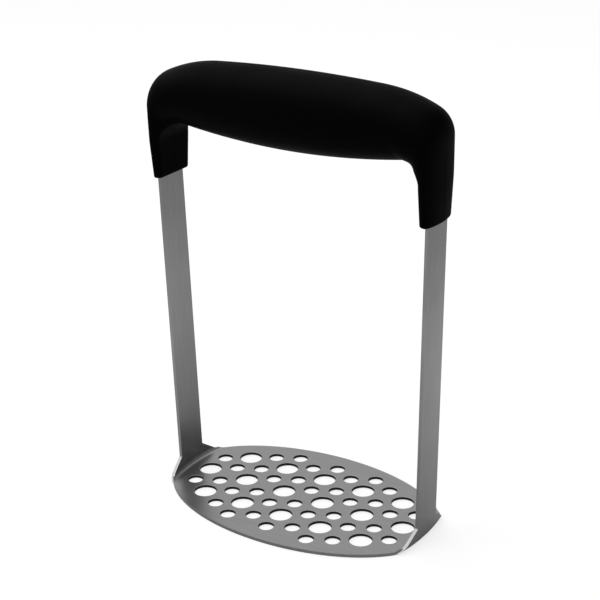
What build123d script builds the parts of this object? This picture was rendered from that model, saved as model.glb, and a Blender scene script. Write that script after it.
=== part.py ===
from build123d import *
from math import asin, cos, degrees, floor, radians, sin, sqrt, tan
import os

os.makedirs("parts", exist_ok=True)

# The part stands on the underside of its plate. Z = 0 is that underside, X runs along the oval,
# and the part is alike in front and behind, left and right.

# Stainless sheet
sheet = 1.4
edge_round = 0.3
overrun = 5.0
right_angle = 90
halving_steps = 40

# Oval plate, as a flat blank before its ends are bent up
oval_half_length = 65.0
oval_half_width = 39.1

# Punched holes: the middle row lies on the X axis, the others in pairs of rows beside it. Rows with
# an even and an odd count take turns, so each row's holes stand between the next row's. A row's place
# is a share of the oval's half width.
hole_pitch = 20.0
hole_margin = 1.2
large_hole = 4.92
small_hole = 3.26
row_shares = [
    (0, large_hole),
    (0.173, small_hole),
    (0.295, small_hole),
    (0.454, large_hole),
    (0.611, small_hole),
    (0.736, small_hole),
]

# Bends and arms
bend_setback = 3.3
foot_curve = 88.0
bend_radius = 3.4
arm_width = 15.3
arm_lean = 1.32
arm_top_round = 4.0
oval_edge_height = 2.2
flare_width = 36.6
flare_base = 0.5
flare_height = 8.0
flare_blend = 1.0

# Handle, front view. Its crest is three arcs, its underside one long arc with a corner at each leg.
handle_height = 192.0
grip_thickness = 32.5
arm_cover = 1.9
inner_cover = 3.1
full_reach_drop = 17.0
crest_radius = 600.0
shoulder_run = 29.6
shoulder_radius = 68.0
end_radius = 11.0
underside_radius = 330.0
inner_corner = 8.0
leg_length = 51.8
tip_round = 1.0

# Handle, across the grip
middle_depth = 28.8
shoulder_depth = 28.2
leg_side_wall = 4.35
tip_side_wall = 2.85
bridge_edge = 13.6
leg_edge = 2.4
widest_edge_share = 0.95
bridge_ridge_share = 0.53
leg_ridge_share = 0.46

# Grip's wall over the core, and how far the core's tongues stop short of the leg tips
bridge_wall = 3.0
leg_wall = 1.0
tongue_gap = 8.7

# Core's pockets, which the grip fills
pocket_pitch = 13.5
pocket_width = 11.0
pocket_corner = 2.0
core_rail = 3.4
core_web = 3.0
seat_clearance = 0.1

# Countersunk screws
screw_shank = 3.8
screw_head = 6.6
screw_length = 13.0
screw_tip = 2.0
head_sink = 0.1
head_clearance = 0.05
driver_slot = 1.0
driver_span = 3.4
driver_depth = 0.8
hole_clearance = 0.1


def arm_face(height, inset):
    """How far the arm's outer face, or a face inside it, stands out at a height."""
    return foot_reach + height * tan(radians(arm_lean)) - inset


# The grip covers the arms' outer faces, and is widest a little below its crest
foot_reach = oval_half_length - bend_setback
full_reach_height = handle_height - full_reach_drop
grip_reach = arm_face(full_reach_height, 0) + arm_cover
underside = handle_height - grip_thickness
leg_thickness = arm_cover + sheet + inner_cover
leg_tip = handle_height - leg_length
leg_end = leg_tip + tip_round
leg_depth = arm_width + 2 * leg_side_wall
tip_depth = arm_width + 2 * tip_side_wall

# Arcs of the crest: how far the surface has turned from level where one arc hands on to the next
crest_half_length = grip_reach - shoulder_run
crest_turn = asin(crest_half_length / crest_radius)
shoulder_half_length = (
    grip_reach
    - end_radius * (1 - sin(crest_turn))
    - end_radius * crest_half_length / shoulder_radius
) / (1 - end_radius / shoulder_radius)
shoulder_turn = asin(
    sin(crest_turn) + (shoulder_half_length - crest_half_length) / shoulder_radius
)
shoulder_centre = handle_height - crest_radius * (1 - cos(crest_turn)) - shoulder_radius * cos(crest_turn)
end_centre_x = grip_reach - end_radius
end_centre_z = shoulder_centre + (shoulder_radius - end_radius) * cos(shoulder_turn)

# Arcs of the underside, and the corner where each leg starts
corner_x = grip_reach - leg_thickness - inner_corner
underside_centre = underside + underside_radius
corner_z = underside_centre - sqrt((underside_radius + inner_corner) ** 2 - corner_x**2)
corner_start = right_angle + degrees(asin(corner_x / (underside_radius + inner_corner)))

# The arms end where the crest's end arcs start, and the screws sit between there and the corner
arm_top = end_centre_z
screw_height = (corner_z + inner_corner + arm_top) / 2


def bowed_slice(height, inset):
    """A level slice of the space between the arms, with both ends bowed outwards."""
    reach = arm_face(height, inset)
    bow = foot_curve - inset
    side = oval_half_width + overrun
    corner = reach - (bow - sqrt(bow**2 - side**2))
    with BuildSketch(Plane.XY.offset(height)) as level:
        with BuildLine():
            ThreePointArc((corner, -side), (reach, 0), (corner, side))
            Line((corner, side), (-corner, side))
            ThreePointArc((-corner, side), (-reach, 0), (-corner, -side))
            Line((-corner, -side), (corner, -side))
        make_face()
    return level.sketch


def between_arms(inset, floor, top):
    """A block whose bowed ends are the arms' faces, with rounded ends to its floor."""
    with BuildPart() as block:
        loft([bowed_slice(floor, inset), bowed_slice(top, inset)], ruled=True)
        bends = block.faces().sort_by(Axis.Z)[0].edges().filter_by(GeomType.CIRCLE)
        fillet(bends, bend_radius - inset)
    return block.part


def arm_shape(half_width, top, corner):
    """An arm and its flared foot, seen along X and run through the whole length."""
    with BuildPart() as shape:
        with BuildSketch(Plane.YZ) as outline:
            with BuildLine():
                Polyline(
                    (flare_width / 2, 0),
                    (flare_width / 2, flare_base),
                    (half_width, flare_height),
                    (half_width, top),
                    (-half_width, top),
                    (-half_width, flare_height),
                    (-flare_width / 2, flare_base),
                    (-flare_width / 2, 0),
                    close=True,
                )
            make_face()
            fillet(outline.vertices().group_by(Axis.Y)[2], flare_blend)
            fillet(outline.vertices().group_by(Axis.Y)[-1], corner)
        extrude(amount=oval_half_length + overrun, both=True)
    return shape.part


# Sheet steel before it is punched: plate, bends and both arms from one oval blank
with BuildPart() as blank_outline:
    with BuildSketch():
        Ellipse(oval_half_length, oval_half_width)
    extrude(amount=oval_edge_height)
    add(arm_shape(arm_width / 2, arm_top, arm_top_round))

with BuildPart() as steel_blank:
    add(between_arms(0, 0, arm_top + overrun))
    add(between_arms(sheet, sheet, arm_top + 2 * overrun), mode=Mode.SUBTRACT)
    add(blank_outline.part, mode=Mode.INTERSECT)

# Arm screws lie square to the leaning arms, with their heads sunk just under the outer face
screw_places = []
screw_seats = []
for side in (1, -1):
    face_point = Vector(side * arm_face(screw_height, 0), 0, screw_height)
    outward = Vector(side * cos(radians(arm_lean)), 0, -sin(radians(arm_lean)))
    screw_places.append(Plane(origin=face_point, x_dir=(0, 1, 0), z_dir=outward))
    screw_seats.append(Plane(origin=face_point - outward * head_sink, x_dir=(0, 1, 0), z_dir=outward))

head_radius = screw_head / 2 - head_sink - head_clearance
cone_depth = head_radius - screw_shank / 2
tip_radius = screw_shank / 2 - screw_tip / 2
with BuildPart() as screw:
    with BuildSketch(Plane.XZ):
        with BuildLine():
            Polyline(
                (0, 0),
                (head_radius, 0),
                (screw_shank / 2, -cone_depth),
                (screw_shank / 2, screw_tip - screw_length),
                (tip_radius, -screw_length),
                (0, -screw_length),
                close=True,
            )
        make_face()
    revolve(axis=Axis.Z)
    with BuildSketch():
        Rectangle(driver_span, driver_slot)
        Rectangle(driver_slot, driver_span)
    extrude(amount=-driver_depth, mode=Mode.SUBTRACT)

with BuildPart() as arm_screws:
    with Locations(*screw_seats):
        add(screw.part)
arm_screws.part.label = "arm_screws"
export_step(arm_screws.part, "parts/arm_screws.step")


def holes_that_fit(number, across, radius):
    """How many holes a row takes on its pitch, clear of the rim and of the bends."""
    outermost = across + radius
    rim_half_length = oval_half_length * sqrt(1 - (outermost / oval_half_width) ** 2)
    bow = foot_curve - sqrt(foot_curve**2 - outermost**2)
    room = min(rim_half_length, foot_reach - bow - bend_radius) - radius - hole_margin
    if number % 2:
        return 2 * floor(room / hole_pitch) + 1
    return 2 * floor(room / hole_pitch + 1 / 2)


with BuildPart() as masher_body:
    add(steel_blank.part)
    with BuildSketch():
        for number, (row_share, radius) in enumerate(row_shares):
            across = row_share * oval_half_width
            count = holes_that_fit(number, across, radius)
            for side in (1, -1):
                with Locations((0, side * across)):
                    with GridLocations(hole_pitch, 0, count, 1):
                        Circle(radius)
    extrude(amount=sheet, mode=Mode.SUBTRACT)
    with Locations(*screw_places):
        CounterSinkHole(
            radius=screw_shank / 2 + hole_clearance,
            counter_sink_radius=screw_head / 2,
            depth=screw_length,
            counter_sink_angle=right_angle,
        )
    rims = masher_body.faces().filter_by(Axis.Z).sort_by(Axis.Z)[:2]
    for rim in rims:
        fillet(rim.inner_wires().edges(), edge_round)
masher_body.part.label = "masher_body"
export_step(masher_body.part, "parts/masher_body.step")


def crest_height(across):
    """Height of the crest over a point across the handle: three arcs, each tangent to the next."""
    if across <= crest_half_length:
        return handle_height - crest_radius + sqrt(crest_radius**2 - across**2)
    if across <= shoulder_half_length:
        offset_x = across - (crest_half_length - shoulder_radius * sin(crest_turn))
        return shoulder_centre + sqrt(shoulder_radius**2 - offset_x**2)
    return end_centre_z + sqrt(max(end_radius**2 - (across - end_centre_x) ** 2, 0))


def in_grip(point):
    """Whether a point of the front view lies inside the crest and the leg's outer face."""
    if point.Z > end_centre_z:
        return point.X <= grip_reach and point.Z <= crest_height(point.X)
    return point.X <= arm_face(min(point.Z, full_reach_height), 0) + arm_cover


def thickness_along(start, direction):
    """Distance from the inner outline to the outer one, found by halving."""
    near, far = 0, grip_reach
    for halving in range(halving_steps):
        middle = (near + far) / 2
        near, far = (middle, far) if in_grip(start + direction * middle) else (near, middle)
    return near


# Stations along half of the handle: inner point, outward direction, share of the way through its zone
bridge_shares = [0, 0.3, 0.6, 0.85]
corner_shares = [0, 0.1, 0.2, 0.3, 0.4, 0.5, 0.62, 0.75, 0.88, 1]
leg_shares = [0.4, 0.75, 0.93, 1]
tip_shares = [0.5, 0.87, 1]


def smooth(start, end, share):
    """Ease from one value to another, level at both ends."""
    return start + (end - start) * share * share * (3 - 2 * share)


def leg_station(height):
    """A level section of the leg, drawn in where it rounds over at the tip."""
    start = Vector(corner_x + inner_corner, 0, height)
    fall = (corner_z - height) / (corner_z - leg_tip)
    depth = leg_depth + (tip_depth - leg_depth) * fall
    below = max(leg_end - height, 0)
    shrink = tip_round - sqrt(max(tip_round**2 - below**2, 0))
    return start, Vector(1, 0, 0), depth, 1, shrink


def stations():
    """Every section of half a handle, from the middle to the tip of a leg."""
    places = []
    for share in bridge_shares:
        lean = radians((corner_start - right_angle) * share)
        direction = Vector(-sin(lean), 0, cos(lean))
        start = Vector(underside_radius * sin(lean), 0, underside_centre - underside_radius * cos(lean))
        depth = middle_depth + (shoulder_depth - middle_depth) * share**2
        places.append((start, direction, depth, 0, 0))
    for share in corner_shares:
        turn = radians(corner_start * (1 - share))
        direction = Vector(cos(turn), 0, sin(turn))
        start = Vector(corner_x, 0, corner_z) + direction * inner_corner
        places.append((start, direction, smooth(shoulder_depth, leg_depth, share), share, 0))
    places += [leg_station(corner_z + (leg_end - corner_z) * share) for share in leg_shares]
    places += [leg_station(leg_end - tip_round * share) for share in tip_shares]
    return places


def grip_section(station, side, inset):
    """One closed section: half an oval outside the widest line, flat sides, rounded edges inside."""
    start, direction, depth, legness, shrink = station
    inset += shrink
    whole = thickness_along(start, direction)
    thickness = whole - 2 * inset
    ridge = thickness * (bridge_ridge_share + (leg_ridge_share - bridge_ridge_share) * legness)
    half = depth / 2 - inset
    full_edge = smooth(bridge_edge, leg_edge, legness)
    edge = min(full_edge * thickness / whole, min(half, ridge) * widest_edge_share)
    along = Vector(side * direction.X, 0, direction.Z)
    base = Vector(side * start.X, 0, start.Z) + along * inset
    square = Plane(origin=base, x_dir=(0, 1, 0), z_dir=Vector(0, 1, 0).cross(along))
    with BuildSketch(square) as section:
        with BuildLine():
            EllipticalCenterArc((0, ridge), half, thickness - ridge, 0, arc_size=right_angle)
            EllipticalCenterArc((0, ridge), half, thickness - ridge, right_angle, arc_size=right_angle)
            Line((-half, ridge), (-half, edge))
            CenterArc((edge - half, edge), edge, 2 * right_angle, right_angle)
            Line((edge - half, 0), (half - edge, 0))
            CenterArc((half - edge, edge), edge, 3 * right_angle, right_angle)
            Line((half, edge), (half, ridge))
        make_face()
    return section.sketch


def arch(inset_of):
    """The handle's arch, or an arch inside it whose wall depends on how near the leg it is."""
    half = stations()
    sections = [grip_section(place, -1, inset_of(place[3])) for place in reversed(half[1:])]
    sections += [grip_section(place, 1, inset_of(place[3])) for place in half]
    with BuildPart() as solid:
        loft(sections)
    return solid.part


def no_wall(legness):
    """Nothing is left outside the whole handle."""
    return 0


def core_wall(legness):
    """The soft grip's thickness over the core."""
    return smooth(bridge_wall, leg_wall, legness)


# Stiff core between the arms, with a tongue down each leg
rail_bottom = underside + bridge_wall + core_rail
rail_top = handle_height - bridge_wall - core_rail
arm_seat = arm_width / 2 + seat_clearance
pocket_room = arm_face(screw_height, screw_length) - core_web - pocket_width / 2
pockets_each_side = floor(pocket_room / pocket_pitch)
pocket_count = 2 * pockets_each_side + 1
pocket_run = pockets_each_side * pocket_pitch
tongue_end = leg_tip + tongue_gap
pocket_rise = underside_radius - sqrt(underside_radius**2 - pocket_run**2)
pocket_fall = handle_height - crest_height(pocket_run)
pocket_low = rail_bottom + pocket_rise
pocket_high = rail_top - pocket_fall

with BuildPart() as pockets:
    for front in (1, -1):
        with BuildSketch(Plane.XZ.offset(front * core_web / 2)):
            with Locations((0, (pocket_low + pocket_high) / 2)):
                with GridLocations(pocket_pitch, 0, pocket_count, 1):
                    RectangleRounded(pocket_width, pocket_high - pocket_low, pocket_corner)
        extrude(amount=front * middle_depth)

with BuildPart() as arm_seats:
    add(arm_shape(arm_seat, arm_top + seat_clearance, arm_top_round))
    add(between_arms(sheet, -overrun, arm_top + overrun), mode=Mode.SUBTRACT)

with BuildPart() as core_form:
    add(arch(core_wall))
    with BuildSketch(Plane.XY.offset(tongue_end)):
        Rectangle(2 * (grip_reach + overrun), 2 * middle_depth)
    extrude(amount=-(tongue_end - leg_tip + overrun), mode=Mode.SUBTRACT)
    add(pockets.part, mode=Mode.SUBTRACT)
    add(arm_seats.part, mode=Mode.SUBTRACT)

with BuildPart() as handle_core:
    add(core_form.part)
    add(arm_screws.part, mode=Mode.SUBTRACT)
handle_core.part.label = "handle_core"
export_step(handle_core.part, "parts/handle_core.step")

# Soft grip, moulded over the core, the arm tops and the screw heads
with BuildPart() as soft_grip:
    add(arch(no_wall))
    add(core_form.part, mode=Mode.SUBTRACT)
    add(steel_blank.part, mode=Mode.SUBTRACT)
    add(arm_screws.part, mode=Mode.SUBTRACT)
soft_grip.part.label = "soft_grip"
export_step(soft_grip.part, "parts/soft_grip.step")
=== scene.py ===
# %% [markdown]
# # A potato masher, from CAD frame to finished picture
# The imported CAD model is the skeleton: it fixes every size and place, in metres, and nothing here
# moves it. Blender's job is the finish: the satin of the pressed steel and the soft black grip. We load
# the frame first.

# %% Load the frame
import math

import bpy
import numpy as np
from mathutils import Matrix, Vector


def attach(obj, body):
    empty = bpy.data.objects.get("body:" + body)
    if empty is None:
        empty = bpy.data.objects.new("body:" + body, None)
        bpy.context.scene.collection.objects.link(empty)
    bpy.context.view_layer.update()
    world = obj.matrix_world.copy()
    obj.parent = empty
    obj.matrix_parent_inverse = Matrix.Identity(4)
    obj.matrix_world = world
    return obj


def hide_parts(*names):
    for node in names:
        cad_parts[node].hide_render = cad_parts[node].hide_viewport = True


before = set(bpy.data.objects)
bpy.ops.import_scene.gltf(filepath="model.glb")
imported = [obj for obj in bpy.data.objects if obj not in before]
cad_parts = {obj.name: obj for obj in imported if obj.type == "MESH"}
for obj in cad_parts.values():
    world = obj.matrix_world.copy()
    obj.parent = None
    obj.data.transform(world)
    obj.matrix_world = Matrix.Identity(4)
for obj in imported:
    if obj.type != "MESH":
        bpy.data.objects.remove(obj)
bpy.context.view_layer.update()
scene = bpy.context.scene
print("CAD nodes:", sorted(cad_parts))

# %% [markdown]
# ## The camera
# A picture can only be compared with a photograph if both are taken from the same spot. The camera's
# place and lens were fitted to most of the round holes, the plate's rim, the arms' edges and the grip's
# outline. Its direction is sure to about a degree, its distance only to about a tenth. An aim point would
# lose the camera's slight tilt, so we build its three axes from the direction and the tilt, and put them
# straight into the camera's matrix.

# %% Camera at the photograph's spot
EYE = Vector((0.31913, -0.48086, 0.33340))
AZIMUTH = math.radians(33.5155)
ELEVATION = math.radians(22.4793)
TILT = math.radians(-1.2860)
LENS = 90.369
SENSOR = 36.0

forward = Vector((
    -math.sin(AZIMUTH) * math.cos(ELEVATION),
    math.cos(AZIMUTH) * math.cos(ELEVATION),
    -math.sin(ELEVATION),
))
level_right = Vector((math.cos(AZIMUTH), math.sin(AZIMUTH), 0.0))
level_up = level_right.cross(forward)
right = level_right * math.cos(TILT) + level_up * math.sin(TILT)
up = level_up * math.cos(TILT) - level_right * math.sin(TILT)

camera_data = bpy.data.cameras.new("camera")
camera_data.lens = LENS
camera_data.sensor_width = SENSOR
camera_data.clip_start = 0.01
camera = bpy.data.objects.new("camera", camera_data)
camera.matrix_world = Matrix.Translation(EYE) @ Matrix((right, up, -forward)).transposed().to_4x4()
scene.collection.objects.link(camera)
scene.camera = camera
scene.view_settings.view_transform = "Standard"
print("camera stands", round(EYE.length, 3), "m from the plate")

# %% [markdown]
# ## Small helpers for materials
# Every finish here is a small tree of shader nodes. Three helpers keep the trees readable: one adds a
# node with its settings, one stretches a span of values over another, and one starts a material with its
# main shader. Nearly all values of a noise lie in the span that is named first.

# %% Helpers for node trees
NOISE_SPAN = (0.3, 0.7)
UNIT_SPAN = (0.0, 1.0)


def add_node(tree, kind, inputs=None, **settings):
    """One node of a kind, with its settings, and with values or links for its named inputs."""
    node = tree.nodes.new(kind)
    for name, value in settings.items():
        setattr(node, name, value)
    for name, value in (inputs or {}).items():
        if isinstance(value, bpy.types.NodeSocket):
            tree.links.new(value, node.inputs[name])
        else:
            node.inputs[name].default_value = value
    return node


def map_range(tree, value, before, after):
    """The output of a Map Range node that takes one span of values to another."""
    return add_node(tree, "ShaderNodeMapRange", {
        "Value": value,
        "From Min": before[0],
        "From Max": before[1],
        "To Min": after[0],
        "To Max": after[1],
    }).outputs["Result"]


def new_finish(name):
    """An empty material with its tree and its main shader, already joined to the output."""
    material = bpy.data.materials.new(name)
    material.use_nodes = True
    tree = material.node_tree
    tree.nodes.clear()
    shader = add_node(tree, "ShaderNodeBsdfPrincipled")
    output = add_node(tree, "ShaderNodeOutputMaterial")
    tree.links.new(shader.outputs["BSDF"], output.inputs["Surface"])
    return material, tree, shader


def grey(value):
    """A neutral opaque colour of one value."""
    return (value, value, value, 1.0)


# %% [markdown]
# ## The room: a white sweep and soft light
# The masher stands on a white table in front of white paper. If we lit that paper until it turned
# white, the steel would be washed out too. So the floor and the world show white to the camera only
# through the Light Path node, while the light that falls on the object stays at a plain level. The steel
# needs something to mirror: the world is palest overhead and greyer towards the floor, as in a small
# studio with a ceiling softbox. A dark flag stands behind on the right. The camera never sees it, but the
# foot of the left arm mirrors it by way of the plate, and turns dark there as in the photograph. Neither
# the flag nor the grey rings of the floor are in the photograph: they only give the metal its tones.

# %% The world: white to the camera, soft grey steps to the metal
ROOM_HEIGHTS = (-0.2, 0.9)
ROOM_TONES = (0.62, 1.0)
FLAG_SIDE = (0.53, 0.80, 0.28)
FLAG_EDGES = (0.72, 0.95)
FLAG_TONES = (1.0, 0.2)

world = bpy.data.worlds.new("studio")
scene.world = world
world.use_nodes = True
sky = world.node_tree
sky.nodes.clear()
ray = add_node(sky, "ShaderNodeLightPath")
direction = add_node(sky, "ShaderNodeTexCoord").outputs["Generated"]
height = add_node(sky, "ShaderNodeSeparateXYZ", {"Vector": direction}).outputs["Z"]
room_tone = map_range(sky, height, ROOM_HEIGHTS, ROOM_TONES)
flag_side = add_node(sky, "ShaderNodeVectorMath", {0: direction, 1: FLAG_SIDE}, operation="DOT_PRODUCT")
flag_tone = map_range(sky, flag_side.outputs["Value"], FLAG_EDGES, FLAG_TONES)
flagged = add_node(sky, "ShaderNodeMath", {0: room_tone, 1: flag_tone}, operation="MULTIPLY")
room = add_node(sky, "ShaderNodeBackground", {"Color": grey(1.0), "Strength": flagged.outputs["Value"]})
backdrop = add_node(sky, "ShaderNodeBackground", {"Color": grey(1.0), "Strength": 1.0})
seen = add_node(sky, "ShaderNodeMixShader", {"Fac": ray.outputs["Is Camera Ray"]})
sky.links.new(room.outputs["Background"], seen.inputs[1])
sky.links.new(backdrop.outputs["Background"], seen.inputs[2])
add_node(sky, "ShaderNodeOutputWorld", {"Surface": seen.outputs["Shader"]})
print("world strength for the metal:", ROOM_TONES[0], "below the horizon to", ROOM_TONES[1], "overhead")

# %% [markdown]
# The camera sees a mix of plain white and the paper's own tone, so the shadow still shows. The metal
# mirrors another tone, which changes in rings round the masher: grey near it, palest at a fifth of a
# metre, and greyer again further out. These rings are painted shade and light on the floor, seen only in
# the metal's reflections. The rings are given as shares of their reach.

# %% The floor: pale, and it keeps a soft shadow
FLOOR_HALF = 3.0
FLOOR_DROP = 0.0002
FLOOR_SHOWN = 0.75
FLOOR_SEEN = 0.95
FLOOR_REACH = 0.4
# Painted shade and light round the masher, which only the metal's reflections show.
FLOOR_MIRRORED = {0.1: 0.40, 0.5: 0.70, 0.9: 0.47}

floor_mesh = bpy.data.meshes.new("floor")
floor_mesh.from_pydata(
    [
        (-FLOOR_HALF, -FLOOR_HALF, -FLOOR_DROP),
        (FLOOR_HALF, -FLOOR_HALF, -FLOOR_DROP),
        (FLOOR_HALF, FLOOR_HALF, -FLOOR_DROP),
        (-FLOOR_HALF, FLOOR_HALF, -FLOOR_DROP),
    ],
    [],
    [(0, 1, 2, 3)],
)
floor = bpy.data.objects.new("floor", floor_mesh)
scene.collection.objects.link(floor)
floor_finish, floor_tree, floor_shader = new_finish("white_paper")
floor_shader.inputs["Roughness"].default_value = 0.9
floor_shader.inputs["Specular IOR Level"].default_value = 0.0
paper_white = add_node(floor_tree, "ShaderNodeEmission", {"Strength": 1.0})
paper_ray = add_node(floor_tree, "ShaderNodeLightPath")
paper_place = add_node(floor_tree, "ShaderNodeTexCoord")
paper_far = add_node(
    floor_tree, "ShaderNodeVectorMath", {0: paper_place.outputs["Object"]}, operation="LENGTH"
)
paper_ring = map_range(floor_tree, paper_far.outputs["Value"], (0.0, FLOOR_REACH), UNIT_SPAN)
mirrored = add_node(floor_tree, "ShaderNodeValToRGB", {"Fac": paper_ring})
mirrored_stops = mirrored.color_ramp.elements
for number, (place, tone) in enumerate(FLOOR_MIRRORED.items()):
    stop = mirrored_stops[number] if number < 2 else mirrored_stops.new(place)
    stop.position = place
    stop.color = grey(tone)
paper_change = add_node(
    floor_tree, "ShaderNodeMath", {0: FLOOR_SEEN, 1: mirrored.outputs["Color"]}, operation="SUBTRACT"
)
paper_tone = add_node(
    floor_tree,
    "ShaderNodeMath",
    {0: paper_ray.outputs["Is Camera Ray"], 1: paper_change.outputs["Value"], 2: mirrored.outputs["Color"]},
    operation="MULTIPLY_ADD",
)
floor_tree.links.new(paper_tone.outputs["Value"], floor_shader.inputs["Base Color"])
paper_share = add_node(
    floor_tree,
    "ShaderNodeMath",
    {0: paper_ray.outputs["Is Camera Ray"], 1: FLOOR_SHOWN},
    operation="MULTIPLY",
)
paper_mix = add_node(floor_tree, "ShaderNodeMixShader", {"Fac": paper_share.outputs["Value"]})
floor_tree.links.new(floor_shader.outputs["BSDF"], paper_mix.inputs[1])
floor_tree.links.new(paper_white.outputs["Emission"], paper_mix.inputs[2])
paper_out = next(node for node in floor_tree.nodes if node.type == "OUTPUT_MATERIAL")
floor_tree.links.new(paper_mix.outputs["Shader"], paper_out.inputs["Surface"])
floor_mesh.materials.append(floor_finish)
print("floor is", 2 * FLOOR_HALF, "m across")

# %% A softbox overhead
SOFTBOX_PLACE = Vector((-0.35, -0.1, 1.0))
SOFTBOX_AIM = Vector((0.0, 0.0, 0.05))
SOFTBOX_SIZE = 1.1
SOFTBOX_POWER = 6.0

lamp_data = bpy.data.lights.new("overhead", "AREA")
lamp_data.shape = "SQUARE"
lamp_data.size = SOFTBOX_SIZE
lamp_data.energy = SOFTBOX_POWER
lamp = bpy.data.objects.new("overhead", lamp_data)
lamp.location = SOFTBOX_PLACE
lamp.rotation_euler = (SOFTBOX_AIM - SOFTBOX_PLACE).to_track_quat("-Z", "Y").to_euler()
scene.collection.objects.link(lamp)

# %% [markdown]
# ## Brushed stainless steel
# The plate and both arms are one stainless sheet. It was ground on a long belt before it was bent, so
# its fine scratches run along the plate and on up the arms. Noise that is stretched along X and Z and
# fine across Y follows that path with no UV map. The scratches change the tone and, a very little,
# the height; a slow second noise gives the faint clouds of a handled sheet. The belt didn't reach the
# walls of the holes: a punch tears the metal, so they are rougher. Their colour is also made much darker,
# and that darkening is painted shade: it stands in for the shade inside the holes and hides the glints on
# their rounded edges. A mask finds them, where the surface is steep, below the plate's top face, and
# clear of the rim and the bends.

# %% Steel finish
STEEL_GREY = 0.285
STEEL_ROUGHNESS = (0.28, 0.36)
GRAIN_TONES = (0.93, 1.07)
GRAIN_ALONG = 60.0
GRAIN_ACROSS = 1600.0
GRAIN_HEIGHT = 0.00001
PLATE_TOP = 0.00139
HOLES_HALF_LENGTH = 0.0553
RIM_HALF_LENGTH = 0.0615
RIM_HALF_WIDTH = 0.0375
WALL_SLOPES = (0.55, 0.92)
# The next value darkens the hole walls' colour as painted shade; the one after makes them rougher, as a
# punched edge is.
WALL_PAINTED_SHADE = -0.86
WALL_ROUGHENING = 0.25

steel, steel_tree, steel_shader = new_finish("brushed_stainless")
steel_place = add_node(steel_tree, "ShaderNodeTexCoord")
grain_place = add_node(steel_tree, "ShaderNodeMapping", {
    "Vector": steel_place.outputs["Object"],
    "Scale": (GRAIN_ALONG, GRAIN_ACROSS, GRAIN_ALONG),
})
grain = add_node(steel_tree, "ShaderNodeTexNoise", {
    "Vector": grain_place.outputs["Vector"],
    "Scale": 1.0,
    "Detail": 3.0,
    "Roughness": 0.6,
})
clouds = add_node(steel_tree, "ShaderNodeTexNoise", {
    "Vector": steel_place.outputs["Object"],
    "Scale": 45.0,
    "Detail": 2.0,
})
steel_tones = [STEEL_GREY * tone for tone in GRAIN_TONES]
steel_tone = map_range(steel_tree, grain.outputs["Fac"], NOISE_SPAN, steel_tones)
steel_sheen = map_range(steel_tree, clouds.outputs["Fac"], NOISE_SPAN, STEEL_ROUGHNESS)
steel_bump = add_node(steel_tree, "ShaderNodeBump", {
    "Height": grain.outputs["Fac"],
    "Distance": GRAIN_HEIGHT,
    "Strength": 1.0,
})


def steel_math(operation, first, second, third=0.0):
    """One Math node in the steel's tree, as its output."""
    inputs = {0: first, 1: second, 2: third}
    return add_node(steel_tree, "ShaderNodeMath", inputs, operation=operation).outputs["Value"]


surface = add_node(steel_tree, "ShaderNodeNewGeometry")
facing = add_node(steel_tree, "ShaderNodeSeparateXYZ", {"Vector": surface.outputs["Normal"]})
level = steel_math("ABSOLUTE", facing.outputs["Z"], 0.0)
steep = map_range(steel_tree, level, WALL_SLOPES, (1.0, 0.0))
spot = add_node(steel_tree, "ShaderNodeSeparateXYZ", {"Vector": steel_place.outputs["Object"]})
rim_place = add_node(steel_tree, "ShaderNodeMapping", {
    "Vector": steel_place.outputs["Object"],
    "Scale": (1 / RIM_HALF_LENGTH, 1 / RIM_HALF_WIDTH, 0.0),
})
from_middle = add_node(
    steel_tree, "ShaderNodeVectorMath", {0: rim_place.outputs["Vector"]}, operation="LENGTH"
)
dull_and_shaded_wall = steel_math("LESS_THAN", spot.outputs["Z"], PLATE_TOP)
along_plate = steel_math("ABSOLUTE", spot.outputs["X"], 0.0)
dull_and_shaded_wall = steel_math("MULTIPLY", dull_and_shaded_wall, steel_math("LESS_THAN", along_plate, HOLES_HALF_LENGTH))
dull_and_shaded_wall = steel_math("MULTIPLY", dull_and_shaded_wall, steel_math("LESS_THAN", from_middle.outputs["Value"], 1.0))
dull_and_shaded_wall = steel_math("MULTIPLY", dull_and_shaded_wall, steep)
# Painted shade: the hole walls' colour is darkened wherever the mask is set.
wall_shade_tone = steel_math("MULTIPLY_ADD", dull_and_shaded_wall, WALL_PAINTED_SHADE, 1.0)
steel_tree.links.new(steel_math("MULTIPLY", steel_tone, wall_shade_tone), steel_shader.inputs["Base Color"])
steel_tree.links.new(
    steel_math("MULTIPLY_ADD", dull_and_shaded_wall, WALL_ROUGHENING, steel_sheen), steel_shader.inputs["Roughness"]
)
steel_tree.links.new(steel_bump.outputs["Normal"], steel_shader.inputs["Normal"])
steel_shader.inputs["Metallic"].default_value = 1.0
print("steel grey", STEEL_GREY, "with scratches", round(1000 / GRAIN_ACROSS, 2), "mm apart")

# %% [markdown]
# ## The soft grip
# The grip is one moulded arch: a thick crowned bridge for the hand, and two short flat legs that swallow
# the arms. It could be carved by subdivision, but its outline is plain geometry: an underside arc, a
# corner arc and a straight leg inside, and three tangent arcs outside. So we work the surface out. One
# parameter walks along the inside of the arch, and at each stop a line square to it gives the
# thickness; the other parameter goes round the section. Both run over whole numpy arrays at once.

# %% Sizes of the grip, in millimetres
MM = 0.001
CREST_Z = 192.0
UNDERSIDE_Z = 159.5
LEG_TIP = 140.2
ARM_FOOT = 61.7
ARM_SLOPE = math.tan(math.radians(1.32))
ARM_COVER = 1.9
FULL_REACH_Z = 175.0
REACH = ARM_FOOT + FULL_REACH_Z * ARM_SLOPE + ARM_COVER
LEG_THICK = 6.4
CREST_RADIUS = 600.0
CREST_HALF = REACH - 29.6
SHOULDER_RADIUS = 68.0
END_RADIUS = 11.0
UNDERSIDE_RADIUS = 330.0
CORNER_RADIUS = 8.0
TIP_ROUND = 1.0
DEPTHS = {"middle": 28.8, "shoulder": 28.2, "leg": 24.0, "tip": 21.0}

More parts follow.
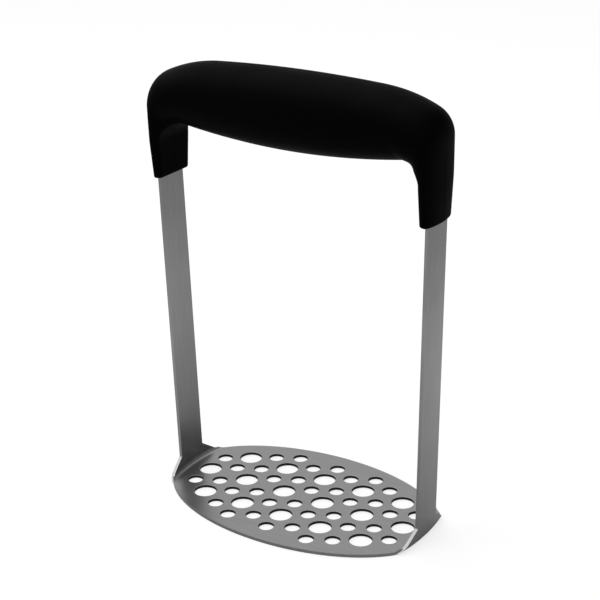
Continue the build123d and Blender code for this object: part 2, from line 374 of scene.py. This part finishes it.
crest_turn = math.asin(CREST_HALF / CREST_RADIUS)
shoulder_run = REACH - END_RADIUS * (1 - math.sin(crest_turn)) - END_RADIUS * CREST_HALF / SHOULDER_RADIUS
shoulder_half = shoulder_run / (1 - END_RADIUS / SHOULDER_RADIUS)
shoulder_turn = math.asin(math.sin(crest_turn) + (shoulder_half - CREST_HALF) / SHOULDER_RADIUS)
shoulder_z = CREST_Z - CREST_RADIUS * (1 - math.cos(crest_turn)) - SHOULDER_RADIUS * math.cos(crest_turn)
shoulder_x = CREST_HALF - SHOULDER_RADIUS * math.sin(crest_turn)
end_z = shoulder_z + (SHOULDER_RADIUS - END_RADIUS) * math.cos(shoulder_turn)
end_x = REACH - END_RADIUS
print("the shoulder arc hands on to the end arc at x =", round(shoulder_half, 1), "mm")


# %% The outside of the arch
def crest_height(across):
    """Height of the crest over a distance from the middle: three arcs, each tangent to the next."""
    top = CREST_Z - CREST_RADIUS + np.sqrt(CREST_RADIUS**2 - np.minimum(across, CREST_HALF) ** 2)
    past_shoulder = np.clip(across - shoulder_x, 0, SHOULDER_RADIUS)
    shoulder = shoulder_z + np.sqrt(SHOULDER_RADIUS**2 - past_shoulder**2)
    end = end_z + np.sqrt(np.maximum(END_RADIUS**2 - (across - end_x) ** 2, 0))
    return np.where(across <= CREST_HALF, top, np.where(across <= shoulder_half, shoulder, end))


def inside_outline(across, tall):
    """Whether points of the front view lie under the crest and inside the leg, which follows the arm."""
    leg_face = ARM_FOOT + np.minimum(tall, FULL_REACH_Z) * ARM_SLOPE + ARM_COVER
    under_crest = (across <= REACH) & (tall <= crest_height(across))
    return np.where(tall > end_z, under_crest, across <= leg_face)


def thickness_along(start, outward, halvings=40):
    """Distance from inner points to the outline along their directions, by halving all at once."""
    near = np.zeros(len(start))
    far = np.full(len(start), REACH)
    for _ in range(halvings):
        middle = (near + far) / 2
        point = start + outward * middle[:, None]
        inside = inside_outline(point[:, 0], point[:, 1])
        near, far = np.where(inside, middle, near), np.where(inside, far, middle)
    return near


print("crest at the middle and the shoulder:", crest_height(np.array([0.0, shoulder_half])).round(1), "mm")

# %% [markdown]
# The walk along the inside has four stretches: the long underside arc, the corner, the straight leg and
# the small rounding at its tip. Each stop carries five numbers: its point, its outward direction, the
# grip's depth there, how leg-like its section is, and how far the tip's rounding draws it in.

# %% Stops along half of the arch
def ease(share):
    """Goes from 0 to 1 with no slope at either end: three times the square less twice the cube."""
    return share * share * (3 - 2 * share)


corner_x = REACH - LEG_THICK - CORNER_RADIUS
underside_centre = UNDERSIDE_Z + UNDERSIDE_RADIUS
corner_z = underside_centre - math.sqrt((UNDERSIDE_RADIUS + CORNER_RADIUS) ** 2 - corner_x**2)
underside_turn = math.asin(corner_x / (UNDERSIDE_RADIUS + CORNER_RADIUS))
leg_end = LEG_TIP + TIP_ROUND


def stops(bridge_count=48, corner_count=40, leg_count=10, tip_count=8):
    """Inner point, outward direction, depth, legness and draw-in for every stop of half an arch."""
    share = np.linspace(0, 1, bridge_count, endpoint=False)
    lean = underside_turn * share
    outward = [np.stack([-np.sin(lean), np.cos(lean)], 1)]
    start = [
        np.stack([UNDERSIDE_RADIUS * np.sin(lean), underside_centre - UNDERSIDE_RADIUS * np.cos(lean)], 1)
    ]
    depth = [DEPTHS["middle"] + (DEPTHS["shoulder"] - DEPTHS["middle"]) * share**2]
    legness = [np.zeros(bridge_count)]

    share = np.linspace(0, 1, corner_count, endpoint=False)
    turn = (math.pi / 2 + underside_turn) * (1 - share)
    outward.append(np.stack([np.cos(turn), np.sin(turn)], 1))
    start.append(np.array([corner_x, corner_z]) + outward[-1] * CORNER_RADIUS)
    depth.append(DEPTHS["shoulder"] + (DEPTHS["leg"] - DEPTHS["shoulder"]) * ease(share))
    legness.append(share)

    tip_turn = np.linspace(0, math.pi / 2, tip_count)
    leg_tall = np.linspace(corner_z, leg_end, leg_count, endpoint=False)
    tall = np.append(leg_tall, leg_end - TIP_ROUND * np.sin(tip_turn))
    outward.append(np.tile([1.0, 0.0], (len(tall), 1)))
    start.append(np.stack([np.full(len(tall), corner_x + CORNER_RADIUS), tall], 1))
    depth.append(DEPTHS["leg"] + (DEPTHS["tip"] - DEPTHS["leg"]) * (corner_z - tall) / (corner_z - LEG_TIP))
    legness.append(np.ones(len(tall)))

    start, outward, depth, legness = (np.concatenate(part) for part in (start, outward, depth, legness))
    below = np.clip(leg_end - start[:, 1], 0, TIP_ROUND)
    drawn_in = TIP_ROUND - np.sqrt(TIP_ROUND**2 - below**2)
    return start, outward, depth, legness, drawn_in


start, outward, depth, legness, drawn_in = stops()
print("stops along half of the arch:", len(start))

# %% [markdown]
# Each section has a crowned outside, half of an oval, then straight sides and a rounded edge to the flat
# inside. The mould's two halves meet in the middle plane and leave a hair-thin line there, so the
# section has a few extra columns beside that plane, and they dip by a tenth of a millimetre.

# %% Sections, from the crown round to the inside and back
BRIDGE_EDGE = 13.6
LEG_EDGE = 2.4
WIDEST_EDGE_SHARE = 0.95
BRIDGE_RIDGE_SHARE = 0.53
LEG_RIDGE_SHARE = 0.46
LINE_DEEP = 0.12
LINE_HALF_WIDE = 0.16
CROWN_COLUMNS = 26
SIDE_COLUMNS = 5
EDGE_COLUMNS = 11
FLAT_COLUMNS = 8

line_columns = np.array([0.0, 0.08, 0.16, 0.28, 0.45])


def half_section(start, outward, depth, legness, drawn_in):
    """Half of every section, from crown to inside: its distance from the middle plane and outwards.

    The crown is a quarter of an oval from the top to the widest line, the side is straight, and the
    edge is a quarter circle that ends on the flat inside. Each stretch has the same count of columns at
    every stop, so the result is one grid. The line's dip is a narrow bell taken off both ends.
    """
    whole = thickness_along(start, outward)
    thick = whole - 2 * drawn_in
    ridge = thick * (BRIDGE_RIDGE_SHARE + (LEG_RIDGE_SHARE - BRIDGE_RIDGE_SHARE) * legness)
    half = depth / 2 - drawn_in
    edge = (BRIDGE_EDGE + (LEG_EDGE - BRIDGE_EDGE) * ease(legness)) * thick / whole
    edge = np.minimum(edge, np.minimum(half, ridge) * WIDEST_EDGE_SHARE)
    half, ridge, edge, thick = (value[:, None] for value in (half, ridge, edge, thick))

    near_line = np.arcsin(np.clip(line_columns / half, 0, 1))
    around = near_line[:, -1:] + (math.pi / 2 - near_line[:, -1:]) * np.linspace(0, 1, CROWN_COLUMNS)[1:]
    turn = np.concatenate([near_line, around], 1)
    crown_y = half * np.sin(turn)
    crown_out = ridge + (thick - ridge) * np.cos(turn)

    side_share = np.linspace(0, 1, SIDE_COLUMNS)[1:-1]
    side_y = half + 0 * side_share
    side_out = ridge + (edge - ridge) * side_share

    edge_turn = np.linspace(0, math.pi / 2, EDGE_COLUMNS)
    edge_y = half - edge * (1 - np.cos(edge_turn))
    edge_out = edge * (1 - np.sin(edge_turn))

    flat_start = half - edge
    flat_y = flat_start + (line_columns[-1] - flat_start) * np.linspace(0, 1, FLAT_COLUMNS)[1:]
    flat_y = np.concatenate([flat_y, np.tile(line_columns[-2::-1], (len(start), 1))], 1)
    flat_out = np.zeros_like(flat_y)

    across = np.concatenate([crown_y, side_y, edge_y, flat_y], 1)
    out = np.concatenate([crown_out, side_out, edge_out, flat_out], 1) + drawn_in[:, None]
    dip = LINE_DEEP * np.exp(-((across / LINE_HALF_WIDE) ** 2))
    crown_count = crown_y.shape[1]
    out[:, :crown_count] -= dip[:, :crown_count]
    out[:, crown_count:] += dip[:, crown_count:]
    return across, out


across, out = half_section(start, outward, depth, legness, drawn_in)
print("columns round half a section:", across.shape[1])

# %% [markdown]
# Now both parameters are arrays. We mirror the half sections to close them, mirror the half arch to get
# the whole one, and close each tip with a fan of triangles round one middle point.

# %% The whole grip as one closed mesh
def ring_grid(start, outward, across, out):
    """Points of every closed section: the half section, then its mirror image the other way round."""
    out = np.concatenate([out, out[:, -2:0:-1]], 1)
    across = np.concatenate([across, -across[:, -2:0:-1]], 1)
    x = start[:, :1] + outward[:, :1] * out
    z = start[:, 1:] + outward[:, 1:] * out
    return np.stack([x, across, z], 2)


half_arch = ring_grid(start, outward, across, out)
other_half = half_arch[:0:-1] * np.array([-1.0, 1.0, 1.0])
rings = np.concatenate([other_half, half_arch])
ring_count, column_count = rings.shape[:2]
index = np.arange(ring_count * column_count).reshape(ring_count, column_count)
after = np.roll(index, -1, axis=1)
walls = np.stack([index[:-1], after[:-1], after[1:], index[1:]], 2).reshape(-1, 4)
tip_points = np.stack([rings[0].mean(0), rings[-1].mean(0)])
first_tip = np.full(column_count, rings[..., 0].size)
fans = np.concatenate([
    np.stack([after[0], index[0], first_tip], 1),
    np.stack([index[-1], after[-1], first_tip + 1], 1),
])
points = np.concatenate([rings.reshape(-1, 3), tip_points]) * MM

grip_mesh = bpy.data.meshes.new("grip")
grip_mesh.from_pydata(points.tolist(), [], walls.tolist() + fans.tolist())
grip_mesh.shade_smooth()
grip_mesh.update()
grip = bpy.data.objects.new("grip", grip_mesh)
scene.collection.objects.link(grip)
print("grip:", len(points), "points,", len(grip_mesh.polygons), "faces")

# %% Which way the grip's faces point
grip_centre = np.array([0.0, 0.0, (CREST_Z + UNDERSIDE_Z) / 2]) * MM
middle_face = grip_mesh.polygons[(ring_count // 2) * column_count]
faces_out = (Vector(middle_face.center) - Vector(grip_centre)).dot(middle_face.normal) > 0
if not faces_out:
    grip_mesh.flip_normals()
print("faces pointed out already:", faces_out)

# %% [markdown]
# ## Soft black rubber
# The grip is a soft-touch rubber: nearly black, with only a weak wide shine where light rakes over it. A
# fine sparkle of the mould's texture breaks that shine up, and slow patches of a slightly different
# roughness are what hands leave on it.

# %% Grip finish
RUBBER_BLACK = 0.0003
RUBBER_TONES = (0.85, 1.15)
RUBBER_ROUGHNESS = (0.5, 0.6)
RUBBER_SHINE = 0.02
MOULD_GRAIN_HEIGHT = 0.00003

rubber, rubber_tree, rubber_shader = new_finish("grip_rubber")
rubber_place = add_node(rubber_tree, "ShaderNodeTexCoord")
mould_texture = add_node(rubber_tree, "ShaderNodeTexNoise", {
    "Vector": rubber_place.outputs["Object"],
    "Scale": 2600.0,
    "Detail": 2.0,
})
hand_marks = add_node(rubber_tree, "ShaderNodeTexNoise", {
    "Vector": rubber_place.outputs["Object"],
    "Scale": 60.0,
    "Detail": 3.0,
})
rubber_blacks = [RUBBER_BLACK * tone for tone in RUBBER_TONES]
rubber_sheen = map_range(rubber_tree, hand_marks.outputs["Fac"], NOISE_SPAN, RUBBER_ROUGHNESS)
rubber_tone = map_range(rubber_tree, mould_texture.outputs["Fac"], NOISE_SPAN, rubber_blacks)
rubber_bump = add_node(rubber_tree, "ShaderNodeBump", {
    "Height": mould_texture.outputs["Fac"],
    "Distance": MOULD_GRAIN_HEIGHT,
    "Strength": 0.6,
})
rubber_tree.links.new(rubber_sheen, rubber_shader.inputs["Roughness"])
rubber_tree.links.new(rubber_tone, rubber_shader.inputs["Base Color"])
rubber_tree.links.new(rubber_bump.outputs["Normal"], rubber_shader.inputs["Normal"])
rubber_shader.inputs["Specular IOR Level"].default_value = RUBBER_SHINE
grip_mesh.materials.append(rubber)
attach(grip, "root")
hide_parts("soft_grip")
print("grip stands for the CAD node soft_grip")

# %% [markdown]
# ## The hidden pieces
# The stiff core and its two screws are inside the grip. No view shows them, but each still gets the
# finish that the real one would have.

# %% Core plastic and screw steel
CORE_TONES = (0.012, 0.02)
SCREW_GREY = 0.45
SCREW_ROUGHNESS = (0.25, 0.4)

core_finish, core_tree, core_shader = new_finish("core_plastic")
core_place = add_node(core_tree, "ShaderNodeTexCoord")
core_grain = add_node(core_tree, "ShaderNodeTexNoise", {
    "Vector": core_place.outputs["Object"],
    "Scale": 900.0,
    "Detail": 2.0,
})
core_tone = map_range(core_tree, core_grain.outputs["Fac"], UNIT_SPAN, CORE_TONES)
core_tree.links.new(core_tone, core_shader.inputs["Base Color"])
core_shader.inputs["Roughness"].default_value = 0.45

screw_finish, screw_tree, screw_shader = new_finish("screw_steel")
screw_place = add_node(screw_tree, "ShaderNodeTexCoord")
screw_grain = add_node(screw_tree, "ShaderNodeTexNoise", {
    "Vector": screw_place.outputs["Object"],
    "Scale": 1500.0,
    "Detail": 2.0,
})
screw_sheen = map_range(screw_tree, screw_grain.outputs["Fac"], UNIT_SPAN, SCREW_ROUGHNESS)
screw_tree.links.new(screw_sheen, screw_shader.inputs["Roughness"])
screw_shader.inputs["Base Color"].default_value = grey(SCREW_GREY)
screw_shader.inputs["Metallic"].default_value = 1.0

finishes = {
    "masher_body": steel,
    "handle_core": core_finish,
    "arm_screws": screw_finish,
    "soft_grip": rubber,
}
for node_name, finish in finishes.items():
    node_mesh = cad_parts[node_name].data
    node_mesh.materials.clear()
    node_mesh.materials.append(finish)
print("finished CAD nodes:", sorted(finishes))
